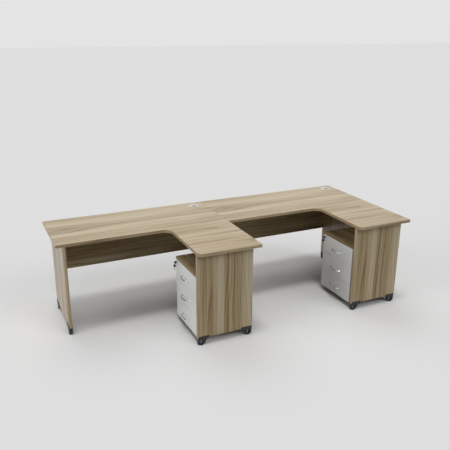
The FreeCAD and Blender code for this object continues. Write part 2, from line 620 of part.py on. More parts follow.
def castor(label, x, y):
    """A fork with hood, web and stem, and a twin wheel with its axle, under the pedestal base."""
    axle_z = "-(castor_height - wheel_radius)"
    half_width = "(castor_web / 2 + wheel_gap + wheel_width)"
    fork = new_body(f"{label}_fork", x, y, "castor_height")
    add(fork, "AdditiveCylinder", "castor_trail", f"-{half_width}", axle_z, ALONG_Y,
        Radius="hood_radius", Height=f"2 * {half_width}")
    for start in (f"-{half_width}", "castor_web / 2"):
        add(fork, "SubtractiveCylinder", "castor_trail", start, axle_z, ALONG_Y,
            Radius="hood_radius - hood_wall", Height="wheel_gap + wheel_width")
    add(fork, "SubtractiveBox", "castor_trail - hood_radius", f"-{half_width}", f"{axle_z} - hood_radius",
        Length="2 * hood_radius", Width=f"2 * {half_width}", Height="hood_radius")
    add(fork, "AdditiveCylinder", "castor_trail", "-castor_web / 2", axle_z, ALONG_Y,
        Radius="castor_boss_radius", Height="castor_web")
    add(fork, "AdditiveBox", "-castor_neck / 2", "-castor_web / 2", axle_z,
        Length="castor_neck", Width="castor_web", Height="castor_height - wheel_radius - castor_lift")
    add(fork, "AdditiveCylinder", z="-castor_lift - castor_collar_height",
        Radius="castor_collar_radius", Height="castor_collar_height")
    add(fork, "AdditiveCylinder", z="-castor_lift - castor_collar_height", Radius="castor_stem_radius",
        Height="castor_stem_length + castor_lift + castor_collar_height")
    add(fork, "SubtractiveCylinder", "castor_trail", "-castor_web / 2", axle_z, ALONG_Y,
        Radius="axle_radius + castor_play", Height="castor_web")
    node(fork)
    wheel = new_body(f"{label}_wheel", x, y, "castor_height")
    add(wheel, "AdditiveCylinder", "castor_trail", f"-{half_width}", axle_z, ALONG_Y,
        Radius="axle_radius", Height=f"2 * {half_width}")
    for start in (f"-{half_width}", "castor_web / 2 + wheel_gap"):
        add(wheel, "AdditiveCylinder", "castor_trail", start, axle_z, ALONG_Y,
            Radius="wheel_radius", Height="wheel_width")
    soften(wheel, "wheel_edge_radius", lambda edge: is_circle(edge, size["wheel_radius"]))
    node(wheel)


def pedestal(side, unit):
    face_x = f"({unit} + unit_width - return_width + pedestal_setback)"
    carcass_x = f"({face_x} + front_thickness + front_air)"
    runner_x = f"({carcass_x} + runner_setback)"
    pedestal_carcass(side, face_x, carcass_x)
    near_runner_y = f"{PEDESTAL_NEAR} + carcass_thickness"
    far_runner_y = f"{PEDESTAL_NEAR} + pedestal_width - carcass_thickness - runner_reach"
    runners = []
    for number, level in enumerate(DRAWERS):
        label = f"{side}_{level}_drawer"
        front_z = f"(pedestal_skirt + {number} * ({FRONT_HEIGHT} + front_gap))"
        box_z = f"({front_z} + drawer_lift)"
        extent = ("front_thickness", "pedestal_width", FRONT_HEIGHT)
        front = node(board(f"{label}_front", (face_x, PEDESTAL_NEAR, front_z), extent, "front_edge_radius"))
        drawer_box(label, f"({face_x} + front_thickness)", box_z, runner_x)
        handle(f"{label}_handle", face_x, f"{front_z} + {FRONT_HEIGHT} / 2 - handle_drop")
        runner_z = f"{box_z} + runner_lift"
        for name, y, cavity_y in (("near", near_runner_y, "runner_sheet"), ("far", far_runner_y, "0")):
            runners.append(cabinet_runner(f"{label}_{name}_runner", runner_x, y, runner_z, cavity_y))
    group(f"{side}_pedestal_runners", runners)
    lock(side, front, face_x, f"{PEDESTAL_NEAR} + pedestal_width - lock_inset_side",
         f"{front_z} + {FRONT_HEIGHT} - lock_inset_top")
    for number, (x, y) in enumerate(CASTOR_SPOTS, start=1):
        stem_y = f"{PEDESTAL_NEAR} + carcass_thickness + {y}"
        castor(f"{side}_castor_{number}", f"{carcass_x} + {x}", stem_y)


for side, unit in UNITS.items():
    pedestal(side, unit)

# Every object has to be sound before any file is written
doc.recompute()
for item in doc.Objects:
    if "Invalid" in item.State or "Error" in item.State:
        raise RuntimeError(f"{item.Label} failed: {item.State}")
for label, item in nodes.items():
    if item.Shape.isNull() or not item.Shape.isValid() or not item.Shape.Solids:
        raise RuntimeError(f"{label} has no sound solid")

os.makedirs("parts", exist_ok=True)
for label, item in nodes.items():
    item.Shape.exportStep(f"parts/{label}.step")
print(len(nodes), "sub-parts,", sum(len(item.Shape.Solids) for item in nodes.values()), "solids")
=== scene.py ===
import math

import bmesh
import bpy
from mathutils import Matrix, Vector


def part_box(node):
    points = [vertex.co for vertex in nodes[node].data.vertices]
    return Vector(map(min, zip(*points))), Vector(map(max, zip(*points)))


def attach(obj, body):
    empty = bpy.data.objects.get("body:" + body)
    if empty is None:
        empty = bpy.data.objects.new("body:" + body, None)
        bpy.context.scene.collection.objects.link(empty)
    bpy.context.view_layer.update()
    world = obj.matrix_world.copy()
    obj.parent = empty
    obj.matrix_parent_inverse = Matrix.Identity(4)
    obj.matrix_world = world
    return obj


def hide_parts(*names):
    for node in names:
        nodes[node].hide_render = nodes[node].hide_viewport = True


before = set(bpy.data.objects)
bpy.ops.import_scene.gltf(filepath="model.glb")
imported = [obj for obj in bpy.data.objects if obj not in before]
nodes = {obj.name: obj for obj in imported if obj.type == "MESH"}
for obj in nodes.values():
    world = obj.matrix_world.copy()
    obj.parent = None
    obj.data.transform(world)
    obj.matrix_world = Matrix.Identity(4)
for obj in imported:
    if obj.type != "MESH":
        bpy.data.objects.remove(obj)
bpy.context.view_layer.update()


# Upright panels
# Three end panels and two return panels of 25 mm chipboard, faced with printed decor paper under melamine
# and edged with plastic strip of the same print. Their grain stands upright.
# The desks are cut alike, so both return panels show the same stretch of the print.
MM = 0.001
UNIT_WIDTH = 1400 * MM

# A face is set by the mean tone of its print, from dark 0 to light 1, and by the gloss of its melamine
SATIN = {"tone": 0.6, "roughness": 0.3, "ior": 1.5}
# The return panels' print is drawn lighter than the other boards': painted light on their front faces
MATT_PAINTED_LIGHT = {"tone": 0.76, "roughness": 0.5, "ior": 1.25}

# How the print is turned, and how far it is moved, in metres, so that each board shows its own stretch
GRAIN_UPRIGHT = (0, math.radians(90), 0)
UPRIGHT_SHIFTS = {
    "left_end_panel": (0.3, 0.2, 0.0),
    "middle_panel": (1.9, 1.4, 0.6),
    "right_end_panel": (3.1, 2.3, 0.2),
    "left_return_panel": (0.9, 1.7, 7.0),
    "right_return_panel": (0.9, 1.7, 7.0 + UNIT_WIDTH),
}


def linear(code):
    """The linear colour of an sRGB hex value."""
    channels = [int(code[i:i + 2], 16) / 255 for i in (1, 3, 5)]
    curve = [c / 12.92 if c <= 0.04045 else ((c + 0.055) / 1.055) ** 2.4 for c in channels]
    return (*curve, 1)


def add_node(tree, kind, inputs=None, stops=(), **settings):
    """Adds a node. An input given a node, a socket or a list of them is linked, and any other is set."""
    node = tree.nodes.new(kind)
    for name, value in settings.items():
        setattr(node, name, value)
    if stops:
        ramp = node.color_ramp.elements
        while len(ramp) < len(stops):
            ramp.new(1)
        for element, (position, code) in zip(ramp, stops):
            element.position = position
            element.color = linear(code)
    open_inputs = [socket for socket in node.inputs if socket.enabled]
    for key, value in (inputs or {}).items():
        socket = open_inputs[key] if isinstance(key, int) else next(s for s in open_inputs if s.name == key)
        for source in value if isinstance(value, list) else [value]:
            if isinstance(source, bpy.types.Node):
                source = next(output for output in source.outputs if output.enabled)
            if isinstance(source, bpy.types.NodeSocket):
                tree.links.new(source, socket)
            else:
                socket.default_value = source
    return node


def new_finish(name):
    """A material with an empty node tree, and that tree."""
    finish = bpy.data.materials.new(name)
    finish.use_nodes = True
    finish.node_tree.nodes.clear()
    return finish, finish.node_tree


def dress(name, finish):
    """Gives a CAD node its finish."""
    nodes[name].data.materials.clear()
    nodes[name].data.materials.append(finish)


def printed_ash(name, grain, shift, tone, roughness, ior, edge_strips=False):
    """Melamine board with a brown ash print: broad bands, narrow streaks, growth lines and fine fibre.

    The eye gets a grey-brown grain, matt on the panels and with a whitish sheen at low angles on a worktop.
    """
    finish, tree = new_finish(name)
    surface = add_node(tree, "ShaderNodeTexCoord")
    board = add_node(tree, "ShaderNodeMapping", {
        "Vector": surface.outputs["Object"], "Rotation": grain, "Location": shift})
    if edge_strips:
        normal = add_node(tree, "ShaderNodeSeparateXYZ", {0: surface.outputs["Normal"]})
        place = add_node(tree, "ShaderNodeSeparateXYZ", {0: surface.outputs["Object"]})
        facing_x = add_node(tree, "ShaderNodeMath", {0: normal.outputs["X"], 1: 2}, operation="POWER")
        run = add_node(tree, "ShaderNodeMix", {
            "Factor": facing_x, "A": place.outputs["X"], "B": place.outputs["Y"]})
        strip = add_node(tree, "ShaderNodeCombineXYZ", {"X": run, "Y": place.outputs["Z"], "Z": shift[1]})
        level = add_node(tree, "ShaderNodeMath", {0: normal.outputs["Z"]}, operation="ABSOLUTE")
        on_edge = add_node(tree, "ShaderNodeMath", {0: level, 1: 0.5}, operation="LESS_THAN")
        board = add_node(tree, "ShaderNodeMix", {
            "Factor": on_edge, "A": board, "B": strip}, data_type="VECTOR")

    def layer(length, width, detail):
        """Noise stretched along the grain to a length and a width."""
        spread = add_node(tree, "ShaderNodeMapping", {
            "Vector": board, "Scale": (1 / length, 1 / width, 1 / width)})
        return add_node(tree, "ShaderNodeTexNoise", {"Vector": spread, "Scale": 1, "Detail": detail})

    # Lengths and widths of the figure on the real board, but the fibre is drawn coarser so that it shows
    bands = layer(1500 * MM, 62 * MM, 1)
    streaks = layer(800 * MM, 13 * MM, 2)
    fibre = layer(70 * MM, 1.4 * MM, 1)
    swell = layer(1100 * MM, 130 * MM, 1)
    patches = layer(900 * MM, 110 * MM, 0)

    # Growth lines 42 mm apart wander with the swell, darken slowly and end sharply, and fade out in patches
    across = add_node(tree, "ShaderNodeSeparateXYZ", {0: board})
    width = add_node(tree, "ShaderNodeMath", {0: across.outputs["Y"], 1: across.outputs["Z"]})
    spaced = add_node(tree, "ShaderNodeMath", {0: width, 1: 42 * MM}, operation="DIVIDE")
    years = add_node(tree, "ShaderNodeMath", {0: swell, 1: 6, 2: spaced}, operation="MULTIPLY_ADD")
    season = add_node(tree, "ShaderNodeMath", {0: years}, operation="FRACT")
    late_wood = add_node(tree, "ShaderNodeMath", {0: season, 1: 3}, operation="POWER")
    gate = add_node(tree, "ShaderNodeMapRange", {
        "Value": patches, "From Min": 0.4, "From Max": 0.6, "To Min": 0.15, "To Max": 1})
    figure = add_node(tree, "ShaderNodeMath", {0: late_wood, 1: gate}, operation="MULTIPLY")

    # The noises lie round one half, so they leave the mean tone as it is, and the growth lines darken it
    weights = ((bands, 1.1), (streaks, 1), (fibre, 0.3))
    tone -= 0.5 * sum(weight for _, weight in weights)
    weights += ((figure, -0.35),)
    if edge_strips:
        weights += ((on_edge, -0.15),)
    for noise, weight in weights:
        tone = add_node(tree, "ShaderNodeMath", {0: noise, 1: weight, 2: tone}, operation="MULTIPLY_ADD")
    colour = add_node(tree, "ShaderNodeValToRGB", {0: tone}, stops=(
        (0, "#776247"), (0.3, "#978160"), (0.52, "#AD9978"), (0.75, "#BCAB8C"), (1, "#C8BA9F")))
    sheen = add_node(tree, "ShaderNodeMapRange", {
        "Value": streaks, "From Min": 0.3, "From Max": 0.7,
        "To Min": roughness + 0.05, "To Max": roughness - 0.05})
    relief = add_node(tree, "ShaderNodeBump", {"Height": fibre, "Strength": 0.3, "Distance": 0.1 * MM})
    shader = add_node(tree, "ShaderNodeBsdfPrincipled", {
        "Base Color": colour, "Roughness": sheen, "IOR": ior, "Normal": relief})
    add_node(tree, "ShaderNodeOutputMaterial", {"Surface": shader})
    return finish


for name, shift in UPRIGHT_SHIFTS.items():
    # The return panels take the lighter print: painted light
    face = MATT_PAINTED_LIGHT if "return" in name else SATIN
    dress(name, printed_ash(f"printed_ash_{name}", GRAIN_UPRIGHT, shift, **face))


# Modesty panels
# One 18 mm board of the same decor closes the back of each desk. Steel angles hold it between two end panels,
# and its grain lies along the run.
MATT = {"tone": 0.53, "roughness": 0.5, "ior": 1.25}
GRAIN_ALONG_RUN = (0, 0, 0)
MODESTY_SHIFTS = {"left": (0.4, 5.1, 0.3), "right": (2.7, 6.4, 1.1)}
for side, shift in MODESTY_SHIFTS.items():
    name = f"{side}_modesty_panel"
    dress(name, printed_ash(f"printed_ash_{name}", GRAIN_ALONG_RUN, shift, **MATT))


# Feet and glides
# A black ABS moulding grips each lower corner of the panels. Its two prongs stand on a round nylon glide,
# whose zinc-plated stem shows between them and turns into the block above to level the desk.
ZINC = ("#AEB2B6", "#C9CCCF")

# A plane that parts two finishes lies a hair clear of the face beside it
PARTING_MARGIN = 0.1 * MM


def moulded_plastic(name, dark, light, grain_size, roughness, painted_shade=None, painted_shade_top=None):
    """ABS from a spark-eroded mould: a low sheen broken up by an even, fine grain.

    A piece given a second colour is painted in it below a height, as painted shade inside a hole.
    """
    finish, tree = new_finish(name)
    place = add_node(tree, "ShaderNodeTexCoord").outputs["Object"]
    grain = add_node(tree, "ShaderNodeTexNoise", {"Vector": place, "Scale": 1 / grain_size, "Detail": 2})
    flow = add_node(tree, "ShaderNodeTexNoise", {"Vector": place, "Scale": 1 / (30 * MM), "Detail": 2})
    colour = add_node(tree, "ShaderNodeValToRGB", {0: flow}, stops=((0.3, dark), (0.7, light)))
    # Below the height the colour is painted shade, for the unlit inside of a hole
    if painted_shade:
        height = add_node(tree, "ShaderNodeSeparateXYZ", {0: place}).outputs["Z"]
        inside = add_node(tree, "ShaderNodeMath", {0: height, 1: painted_shade_top}, operation="LESS_THAN")
        colour = add_node(tree, "ShaderNodeMix", {
            "Factor": inside, "A": colour, "B": linear(painted_shade)}, data_type="RGBA")
    sheen = add_node(tree, "ShaderNodeMapRange", {
        "Value": grain, "From Min": 0.3, "From Max": 0.7,
        "To Min": roughness - 0.06, "To Max": roughness + 0.06})
    relief = add_node(tree, "ShaderNodeBump", {"Height": grain, "Strength": 0.35, "Distance": 0.15 * MM})
    shader = add_node(tree, "ShaderNodeBsdfPrincipled", {
        "Base Color": colour, "Roughness": sheen, "IOR": 1.53, "Normal": relief})
    add_node(tree, "ShaderNodeOutputMaterial", {"Surface": shader})
    return finish


def plastic_and_metal(name, axis, edge, metal_dark, metal_light):
    """Black moulded plastic, dull, and bright plated metal past a plane across an axis."""
    finish, tree = new_finish(name)
    place = add_node(tree, "ShaderNodeTexCoord").outputs["Object"]
    depth = add_node(tree, "ShaderNodeSeparateXYZ", {0: place})
    metal = add_node(tree, "ShaderNodeMath", {0: depth.outputs[axis], 1: edge}, operation="GREATER_THAN")
    grain = add_node(tree, "ShaderNodeTexNoise", {"Vector": place, "Scale": 1 / (1 * MM), "Detail": 2})
    plastic = add_node(tree, "ShaderNodeValToRGB", {0: grain}, stops=((0.3, "#17181A"), (0.7, "#212225")))
    plate = add_node(tree, "ShaderNodeValToRGB", {0: grain}, stops=((0.3, metal_dark), (0.7, metal_light)))
    colour = add_node(tree, "ShaderNodeMix", {"Factor": metal, "A": plastic, "B": plate}, data_type="RGBA")
    sheen = add_node(tree, "ShaderNodeMapRange", {"Value": metal, "To Min": 0.45, "To Max": 0.25})
    shader = add_node(tree, "ShaderNodeBsdfPrincipled", {
        "Base Color": colour, "Roughness": sheen, "Metallic": metal, "IOR": 1.5})
    add_node(tree, "ShaderNodeOutputMaterial", {"Surface": shader})
    return finish


# The mould grain is drawn at 1.2 mm, coarser than the real half millimetre, so that it shows
black_abs = moulded_plastic("moulded_black_abs", "#1B1C1F", "#26272A", 1.2 * MM, 0.5)
dress("foot_brackets", black_abs)
stem_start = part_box("foot_brackets")[0].z + PARTING_MARGIN
dress("levelling_glides", plastic_and_metal("nylon_pad_and_zinc_stem", "Z", stem_start, *ZINC))


# Worktops
# One L-shaped 25 mm board for each desk, with the printed grain along the whole run, also over the return.
# A 2 mm plastic strip goes round its edge, and its own grain follows the edge. Both show the same stretch.
WORKTOP_SHIFTS = {"left": (0.4, -13.57, 0.4), "right": (0.4 - UNIT_WIDTH, -13.57, 0.4)}
for side, shift in WORKTOP_SHIFTS.items():
    name = f"{side}_desktop"
    dress(name, printed_ash(f"printed_ash_{name}", GRAIN_ALONG_RUN, shift, **SATIN, edge_strips=True))


# Angles and their screws
# Bent zinc-plated steel angles hold the boards together under the worktops, with one pan-head wood screw
# with a cross recess through each leg.
SHANK_RADIUS = 2 * MM
SCREW_LENGTH = 14 * MM
HEAD_RADIUS = 4.2 * MM
HEAD_HEIGHT = 2.4 * MM
RECESS_LENGTH = 5.2 * MM
RECESS_WIDTH = 1.1 * MM
RECESS_DEPTH = 1.5 * MM

# The share of its height that the head loses at its rim
HEAD_DOME = 0.6


def zinc_plate(name):
    """Zinc-plated sheet steel: pale blue-grey metal with faint crystals and a soft gloss."""
    finish, tree = new_finish(name)
    place = add_node(tree, "ShaderNodeTexCoord").outputs["Object"]
    crystals = add_node(tree, "ShaderNodeTexVoronoi", {"Vector": place, "Scale": 1 / (7 * MM)})
    shade = add_node(tree, "ShaderNodeSeparateXYZ", {0: crystals.outputs["Color"]})
    colour = add_node(tree, "ShaderNodeValToRGB", {0: shade}, stops=tuple(enumerate(ZINC)))
    gloss = add_node(tree, "ShaderNodeMapRange", {"Value": shade, "To Min": 0.28, "To Max": 0.42})
    shader = add_node(tree, "ShaderNodeBsdfPrincipled", {
        "Base Color": colour, "Roughness": gloss, "Metallic": 1})
    add_node(tree, "ShaderNodeOutputMaterial", {"Surface": shader})
    return finish


def screw_seats():
    """The middle of the underside of each screw head, and the way that the head faces."""
    shape = bmesh.new()
    shape.from_mesh(nodes["bracket_screws"].data)
    bmesh.ops.remove_doubles(shape, verts=shape.verts, dist=0.01 * MM)
    left = set(shape.verts)
    seats = []
    while left:
        screw = [left.pop()]
        for vert in screw:
            near = {edge.other_vert(vert) for edge in vert.link_edges} & left
            left -= near
            screw.extend(near)
        points = [vert.co for vert in screw]
        low = Vector(min(p[i] for p in points) for i in range(3))
        high = Vector(max(p[i] for p in points) for i in range(3))
        middle = (low + high) / 2
        axis = max(range(3), key=lambda i: high[i] - low[i])
        rim = []
        for point in points:
            arm = point - middle
            arm[axis] = 0
            if arm.length > 1.5 * SHANK_RADIUS:
                rim.append(point[axis])
        side = 1 if sum(rim) / len(rim) > middle[axis] else -1
        outward = Vector(side if i == axis else 0 for i in range(3))
        seat = middle.copy()
        seat[axis] = side * min(side * height for height in rim)
        seats.append((seat, outward))
    shape.free()
    return seats


def new_tree(name, sizes, takes_points=False):
    """A Geometry Nodes tree with named inputs: the tree, its input sockets and their identifiers."""
    tree = bpy.data.node_groups.new(name, "GeometryNodeTree")
    if takes_points:
        tree.interface.new_socket("Points", in_out="INPUT", socket_type="NodeSocketGeometry")
    names = {}
    for label, kind in sizes.items():
        names[label] = tree.interface.new_socket(label, in_out="INPUT", socket_type=kind).identifier
    tree.interface.new_socket("Mesh", in_out="OUTPUT", socket_type="NodeSocketGeometry")
    return tree, add_node(tree, "NodeGroupInput").outputs, names


def end_tree(tree, shape, finish):
    """Closes a tree: real geometry, in its finish."""
    real = add_node(tree, "GeometryNodeRealizeInstances", {"Geometry": shape})
    add_node(tree, "NodeGroupOutput", {
        "Mesh": add_node(tree, "GeometryNodeSetMaterial", {"Geometry": real, "Material": finish})})


def grow(name, tree, names, values, mesh=None):
    """A piece made by a tree with these sizes, as a plain mesh in its place."""
    piece = bpy.data.objects.new(name, mesh or bpy.data.meshes.new(name))
    bpy.context.scene.collection.objects.link(piece)
    modifier = piece.modifiers.new(name, "NODES")
    modifier.node_group = tree
    for label, value in values.items():
        modifier[names[label]] = value
    depsgraph = bpy.context.evaluated_depsgraph_get()
    grown = bpy.data.meshes.new_from_object(piece.evaluated_get(depsgraph))
    piece.modifiers.clear()
    piece.data = grown
    return piece


zinc_steel = zinc_plate("zinc_plated_steel")
dress("corner_brackets", zinc_steel)

FLOAT, VECTOR = "NodeSocketFloat", "NodeSocketVector"
screws, given, screw_inputs = new_tree("pan_head_screws", {
    "Shank Radius": FLOAT, "Shank Length": FLOAT, "Head Radius": FLOAT, "Head Height": FLOAT,
    "Recess": VECTOR}, takes_points=True)
blank = add_node(screws, "GeometryNodeMeshCylinder", {
    "Vertices": 24, "Side Segments": 2, "Fill Segments": 4,
    "Radius": given["Head Radius"], "Depth": given["Head Height"]})
half_height = add_node(screws, "ShaderNodeMath", {0: given["Head Height"], 1: 0.5}, operation="MULTIPLY")
lift = add_node(screws, "ShaderNodeCombineXYZ", {"Z": half_height})
seated = add_node(screws, "GeometryNodeTransform", {"Geometry": blank, "Translation": lift})
spot = add_node(screws, "ShaderNodeSeparateXYZ", {0: add_node(screws, "GeometryNodeInputPosition")})
flat_spot = add_node(screws, "ShaderNodeCombineXYZ", {"X": spot.outputs["X"], "Y": spot.outputs["Y"]})
reach = add_node(screws, "ShaderNodeVectorMath", {0: flat_spot}, operation="LENGTH").outputs["Value"]
share = add_node(screws, "ShaderNodeMath", {0: reach, 1: given["Head Radius"]}, operation="DIVIDE")
fall = add_node(screws, "ShaderNodeMath", {0: share, 1: 3}, operation="POWER")
slope = add_node(screws, "ShaderNodeMath", {0: fall, 1: -HEAD_DOME}, operation="MULTIPLY")
drop = add_node(screws, "ShaderNodeMath", {0: slope, 1: spot.outputs["Z"]}, operation="MULTIPLY")
domed = add_node(screws, "GeometryNodeSetPosition", {
    "Geometry": seated, "Offset": add_node(screws, "ShaderNodeCombineXYZ", {"Z": drop})})
bar = add_node(screws, "GeometryNodeMeshCube", {"Size": given["Recess"]})
crown = add_node(screws, "ShaderNodeCombineXYZ", {"Z": given["Head Height"]})
slot = add_node(screws, "GeometryNodeTransform", {"Geometry": bar, "Translation": crown})
cross_slot = add_node(screws, "GeometryNodeTransform", {
    "Geometry": slot, "Rotation": (0, 0, math.radians(90))})
head = add_node(screws, "GeometryNodeMeshBoolean", {"Mesh 1": domed, "Mesh 2": [slot, cross_slot]},
                operation="DIFFERENCE", solver="EXACT")
shank = add_node(screws, "GeometryNodeMeshCylinder", {
    "Vertices": 16, "Radius": given["Shank Radius"], "Depth": given["Shank Length"]})
half_length = add_node(screws, "ShaderNodeMath", {0: given["Shank Length"], 1: -0.5}, operation="MULTIPLY")
driven = add_node(screws, "GeometryNodeTransform", {
    "Geometry": shank, "Translation": add_node(screws, "ShaderNodeCombineXYZ", {"Z": half_length})})
screw = add_node(screws, "GeometryNodeJoinGeometry", {"Geometry": [head, driven]})
outward = add_node(screws, "GeometryNodeInputNamedAttribute", {"Name": "outward"}, data_type="FLOAT_VECTOR")
turn = add_node(screws, "FunctionNodeAlignRotationToVector", {"Vector": outward}, axis="Z")
set_screws = add_node(screws, "GeometryNodeInstanceOnPoints", {
    "Points": given["Points"], "Instance": screw, "Rotation": turn})
end_tree(screws, set_screws, zinc_steel)

seats = screw_seats()
seat_points = bpy.data.meshes.new("screw_seats")
seat_points.from_pydata([seat for seat, _ in seats], [], [])
facing = seat_points.attributes.new("outward", "FLOAT_VECTOR", "POINT")
for entry, (_, direction) in zip(facing.data, seats):
    entry.vector = direction
pan_heads = grow("pan_head_screws", screws, screw_inputs, {
    "Shank Radius": SHANK_RADIUS, "Shank Length": SCREW_LENGTH, "Head Radius": HEAD_RADIUS,
    "Head Height": HEAD_HEIGHT, "Recess": (RECESS_LENGTH, RECESS_WIDTH, 2 * RECESS_DEPTH)}, seat_points)
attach(pan_heads, "desk")
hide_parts("bracket_screws")


# Cable outlets
# A flanged liner of ABS is pressed into the cable hole of each worktop, and a cap with a half-moon slot turns
# in it. Both are pale ABS, and below the worktop's surface they are painted dark: painted shade inside the
# hole.
SIDES = ("left", "right")
# Painted shade: the outlets turn dark below the worktop's surface, where the hole is unlit
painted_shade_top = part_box("left_desktop")[1].z + PARTING_MARGIN
abs_with_painted_shade = moulded_plastic(
    "abs_with_painted_shade", "#CCC9C3", "#D5D2CC", 1 * MM, 0.38, painted_shade="#232323", painted_shade_top=painted_shade_top)
dress("grommet_liners", abs_with_painted_shade)
for side in SIDES:
    dress(f"{side}_grommet_cap", abs_with_painted_shade)


# Pedestal carcasses and tops
# Each rolling pedestal is a box of 18 mm boards in the same decor, doweled together under a top that
# covers the drawer fronts. The grain of the top lies along its front.
# The top's print is drawn darker than the carcass's: painted shade from the worktop above it
MATT_PAINTED_SHADE = {"tone": 0.45, "roughness": 0.5, "ior": 1.25}
GRAIN_ALONG_FRONT = (0, 0, math.radians(-90))
PEDESTAL_SHIFTS = {"left": (1.2, 0.6, 2.4), "right": (5.3, 1.8, 0.4)}
for side, shift in PEDESTAL_SHIFTS.items():
    carcass, cover = f"{side}_pedestal_carcass", f"{side}_pedestal_top"
    dress(carcass, printed_ash(f"printed_ash_{carcass}", GRAIN_UPRIGHT, shift, **MATT))
    # The top takes the darker print, as painted shade
    dress(cover, printed_ash(f"printed_ash_{cover}", GRAIN_ALONG_FRONT, shift, **MATT_PAINTED_SHADE))


# Drawer runners
# Roll-formed steel channels, powder coated white, are screwed inside the pedestal sides, and one carries
# each drawer on either side.
def coated_white(name, dark, light, peel_size, roughness):
    """A white coat with a fine orange peel: satin, almost even, with a faint cloudiness."""
    finish, tree = new_finish(name)
    place = add_node(tree, "ShaderNodeTexCoord").outputs["Object"]
    peel = add_node(tree, "ShaderNodeTexNoise", {"Vector": place, "Scale": 1 / peel_size, "Detail": 1})
    cloud = add_node(tree, "ShaderNodeTexNoise", {"Vector": place, "Scale": 1 / (140 * MM), "Detail": 3})
    colour = add_node(tree, "ShaderNodeValToRGB", {0: cloud}, stops=((0.3, dark), (0.7, light)))
    sheen = add_node(tree, "ShaderNodeMapRange", {
        "Value": cloud, "From Min": 0.3, "From Max": 0.7,
        "To Min": roughness - 0.04, "To Max": roughness + 0.04})
    relief = add_node(tree, "ShaderNodeBump", {"Height": peel, "Strength": 0.15, "Distance": 0.08 * MM})
    shader = add_node(tree, "ShaderNodeBsdfPrincipled", {
        "Base Color": colour, "Roughness": sheen, "IOR": 1.5, "Normal": relief})
    add_node(tree, "ShaderNodeOutputMaterial", {"Surface": shader})
    return finish


white_steel = coated_white("powder_coated_steel", "#D5D5D2", "#DADAD7", 0.9 * MM, 0.45)
for side in SIDES:
    dress(f"{side}_pedestal_runners", white_steel)


# Drawer boxes
# White chipboard sides, back and base, with the zinc-plated inner member of a runner on the outside of each
# side. One material shows both, parted where the steel begins.
LEVELS = ("lower", "middle", "upper")
DRAWER_WIDTH = 359 * MM


def drawer_finish(name, box_middle, half_width):
    """Satin white melamine inside the drawer's width, and zinc-plated steel with a soft gloss beyond it."""
    finish, tree = new_finish(name)
    place = add_node(tree, "ShaderNodeTexCoord").outputs["Object"]
    across = add_node(tree, "ShaderNodeSeparateXYZ", {0: place})
    offset = add_node(tree, "ShaderNodeMath", {0: across.outputs["Y"], 1: box_middle}, operation="SUBTRACT")
    distance = add_node(tree, "ShaderNodeMath", {0: offset}, operation="ABSOLUTE")
    steel = add_node(tree, "ShaderNodeMath", {0: distance, 1: half_width}, operation="GREATER_THAN")
    cloud = add_node(tree, "ShaderNodeTexNoise", {"Vector": place, "Scale": 1 / (120 * MM), "Detail": 3})
    melamine = add_node(tree, "ShaderNodeValToRGB", {0: cloud}, stops=((0.3, "#D3D3D0"), (0.7, "#DADAD7")))
    rolled = add_node(tree, "ShaderNodeValToRGB", {0: cloud}, stops=((0.3, "#B2B6BA"), (0.7, "#C6C9CC")))
    colour = add_node(tree, "ShaderNodeMix", {"Factor": steel, "A": melamine, "B": rolled}, data_type="RGBA")
    sheen = add_node(tree, "ShaderNodeMapRange", {"Value": steel, "To Min": 0.45, "To Max": 0.3})
    shader = add_node(tree, "ShaderNodeBsdfPrincipled", {
        "Base Color": colour, "Roughness": sheen, "Metallic": steel, "IOR": 1.5})
    add_node(tree, "ShaderNodeOutputMaterial", {"Surface": shader})
    return finish


steel_start = DRAWER_WIDTH / 2 + PARTING_MARGIN
for side in SIDES:
    low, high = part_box(f"{side}_pedestal_carcass")
    finish = drawer_finish(f"melamine_and_zinc_{side}", (low.y + high.y) / 2, steel_start)
    for level in LEVELS:
        dress(f"{side}_{level}_drawer_box", finish)


# Drawer fronts
# White melamine boards, 18 mm thick with 2 mm edging, are screwed to the drawer boxes from inside.
# A gap of 3 mm is left between them.
white_melamine = coated_white("satin_white_melamine", "#E8E8E6", "#EDEDEB", 0.8 * MM, 0.4)
for side in SIDES:
    for level in LEVELS:
        dress(f"{side}_{level}_drawer_front", white_melamine)


# Bow handles
# A cast zinc bar, chrome plated, bows out from each drawer front between two flared feet.
# Screws from inside the drawer hold the feet.
HANDLE_SPACING = 128 * MM
BAR_RADIUS = 4.5 * MM
FOOT_RADIUS = 6.5 * MM
FOOT_FLARE = 11 * MM
BOW_STEPS = 65

# Below 1 the bow stands fuller than a half wave
BOW_FULLNESS = 0.8


def chrome_plate(name, dark, light):
    """Bright chrome: a mirror that takes the pale room, dulled in places by finger marks."""
    finish, tree = new_finish(name)
    place = add_node(tree, "ShaderNodeTexCoord").outputs["Object"]
    marks = add_node(tree, "ShaderNodeTexNoise", {"Vector": place, "Scale": 1 / (16 * MM), "Detail": 4})
    colour = add_node(tree, "ShaderNodeValToRGB", {0: marks}, stops=((0.35, dark), (0.65, light)))
    gloss = add_node(tree, "ShaderNodeMapRange", {
        "Value": marks, "From Min": 0.35, "From Max": 0.65, "To Min": 0.08, "To Max": 0.2})
    shader = add_node(tree, "ShaderNodeBsdfPrincipled", {
        "Base Color": colour, "Roughness": gloss, "Metallic": 1})
    add_node(tree, "ShaderNodeOutputMaterial", {"Surface": shader})
    return finish


